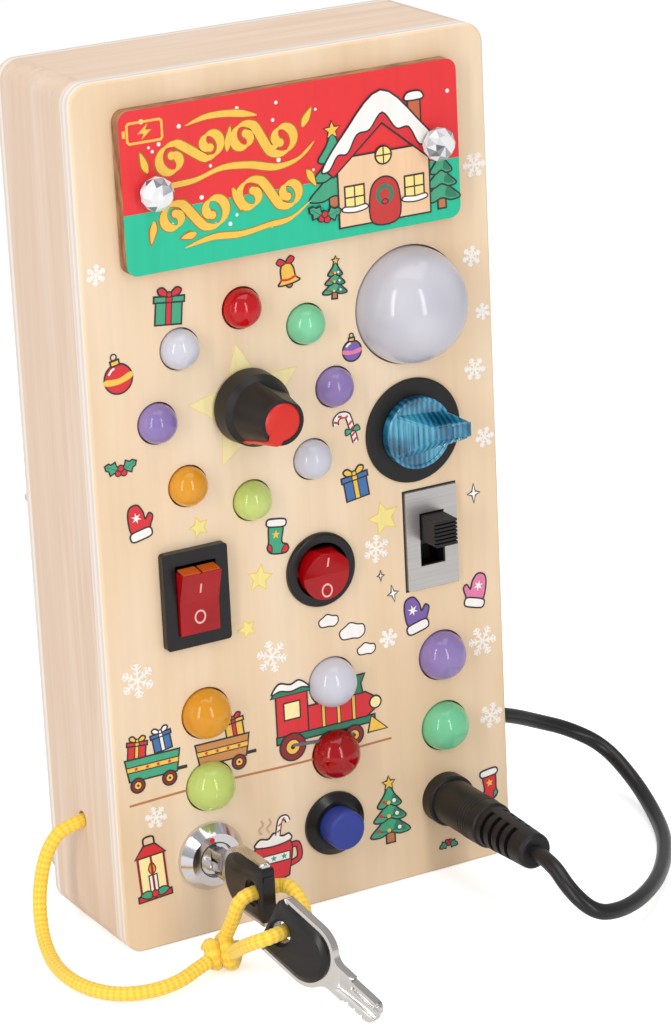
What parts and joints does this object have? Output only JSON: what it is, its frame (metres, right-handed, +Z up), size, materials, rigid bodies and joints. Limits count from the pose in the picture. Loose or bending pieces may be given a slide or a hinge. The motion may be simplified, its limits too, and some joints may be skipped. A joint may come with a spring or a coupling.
{
  "type": "wooden LED busy board",
  "caption": "Upright wooden activity board for toddlers: switches, a dial, a selector knob, a key lock, a plug and coloured light domes on a hollow pine case.",
  "frame": {"origin": "centre of the case's bottom face", "axes": "+Z up, the front with the controls faces -Y, +X to the viewer's right"},
  "size_m": [0.1518, 0.0931, 0.186],
  "materials": {
    "pine": "sanded, clear oil",
    "front_ply": "satin, printed",
    "back_ply": "sanded",
    "steel": "satin",
    "door_red": "printed matte",
    "crystal": "faceted, clear",
    "brass": "satin",
    "black_plastic": "satin",
    "battery_wrap": "satin",
    "dome_red": "gloss",
    "dome_red_clear": "clear gloss",
    "dome_mint": "gloss",
    "dome_purple": "gloss",
    "dome_white": "milky gloss",
    "dome_lime": "gloss",
    "dome_orange": "gloss",
    "led_clear": "clear",
    "board_green": "solder mask",
    "white_nylon": "satin",
    "red_plastic": "gloss",
    "blue_clear": "clear gloss",
    "blue_plastic": "gloss",
    "chrome": "polished",
    "key_steel": "polished",
    "yellow_braid": "braided",
    "black_rubber": "matte",
    "wire_red": "satin"
  },
  "bodies": {
    "board": {"left_wall": "pine", "right_wall": "pine", "top_wall": "pine", "bottom_wall": "pine", "front_panel": "front_ply", "back_panel": "back_ply", "back_screws": "steel", "door_inserts": "brass", "battery_box": "black_plastic", "batteries": "battery_wrap", "battery_contacts": "steel", "ring_dome_red": "dome_red", "ring_dome_mint": "dome_mint", "ring_domes_purple": "dome_purple", "ring_domes_white": "dome_white", "ring_dome_lime": "dome_lime", "ring_dome_orange": "dome_orange", "row_dome_orange": "dome_orange", "row_dome_lime": "dome_lime", "row_dome_white": "dome_white", "row_dome_red": "dome_red_clear", "row_dome_purple": "dome_purple", "row_dome_mint": "dome_mint", "flood_dome": "dome_white", "leds": "led_clear", "circuit_board": "board_green", "board_spacers": "white_nylon", "pot_body": "steel", "selector_base": "black_plastic", "selector_body": "steel", "rect_switch_housing": "black_plastic", "round_switch_housing": "black_plastic", "slide_plate": "steel", "slide_body": "black_plastic", "push_body": "black_plastic", "push_spring": "steel", "lock_body": "chrome", "yellow_cord": "yellow_braid", "panel_nuts": "steel", "jack_socket": "black_plastic", "plug_cable": "black_rubber", "wire_harness": "wire_red"},
    "door": {"battery_door": "door_red"},
    "left_screw": {"left_thumb_screw": "crystal"},
    "right_screw": {"right_thumb_screw": "crystal"},
    "dial": {"pot_shaft": "steel", "dial_knob": "black_plastic", "dial_cap": "red_plastic"},
    "selector": {"selector_knob": "blue_clear"},
    "rect_switch": {"rect_rocker": "red_plastic"},
    "round_switch": {"round_rocker": "red_plastic"},
    "slider": {"slide_knob": "black_plastic"},
    "button": {"push_cap": "blue_plastic"},
    "key_ring": {"spare_key_blade": "key_steel", "spare_key_cover": "black_plastic", "key_loop": "yellow_braid"},
    "key": {"key_blade": "key_steel", "key_cover": "black_plastic"},
    "barrel": {"lock_barrel": "chrome"},
    "plug": {"plug_body": "black_plastic"}
  },
  "joints": [
    {"name": "door_lift", "type": "slide", "parent": "board", "child": "door", "axis": [0, -1, 0], "range_m": [0, 0.02]},
    {"name": "left_screw_turn", "type": "hinge", "parent": "door", "child": "left_screw", "pos_m": [-0.0322, -0.01725, 0.16323], "axis": [0, -1, 0], "range_deg": [0, 720]},
    {"name": "right_screw_turn", "type": "hinge", "parent": "door", "child": "right_screw", "pos_m": [0.0326, -0.01725, 0.16323], "axis": [0, -1, 0], "range_deg": [0, 720]},
    {"name": "dial_turn", "type": "hinge", "parent": "board", "child": "dial", "pos_m": [-0.012, -0.01725, 0.1145], "axis": [0, 1, 0], "range_deg": [0, 300]},
    {"name": "selector_turn", "type": "hinge", "parent": "board", "child": "selector", "pos_m": [0.0268, -0.01725, 0.10159], "axis": [0, 1, 0], "range_deg": [0, 270]},
    {"name": "rect_rock", "type": "hinge", "parent": "board", "child": "rect_switch", "pos_m": [-0.0268, -0.01675, 0.0763], "axis": [-1, 0, 0], "range_deg": [0, 18]},
    {"name": "round_rock", "type": "hinge", "parent": "board", "child": "round_switch", "pos_m": [0.0031, -0.01675, 0.0756], "axis": [-1, 0, 0], "range_deg": [0, 18]},
    {"name": "slider_slide", "type": "slide", "parent": "board", "child": "slider", "axis": [0, 0, -1], "range_m": [0, 0.0054]},
    {"name": "button_press", "type": "slide", "parent": "board", "child": "button", "axis": [0, 1, 0], "range_m": [0, 0.0025], "stiffness_N_per_m": 400, "springref_m": -0.001, "deforming": ["push_spring"]},
    {"name": "key_pull", "type": "slide", "parent": "board", "child": "key_ring", "axis": [0, -1, 0], "range_m": [0, 0.011], "deforming": ["yellow_cord"]},
    {"name": "key_turn", "type": "hinge", "parent": "key_ring", "child": "key", "pos_m": [-0.02665, -0.01725, 0.01805], "axis": [0, 1, 0], "range_deg": [0, 90], "deforming": ["key_loop"]},
    {"name": "barrel_turn", "type": "hinge", "parent": "board", "child": "barrel", "pos_m": [-0.02665, -0.01725, 0.01805], "axis": [0, 1, 0], "range_deg": [0, 90]},
    {"name": "plug_pull", "type": "slide", "parent": "board", "child": "plug", "axis": [0, -1, 0], "range_m": [0, 0.014], "deforming": ["plug_cable"]}
  ],
  "couplings": [
    {"joint": "barrel_turn", "follows": "key_turn", "ratio": 1}
  ]
}
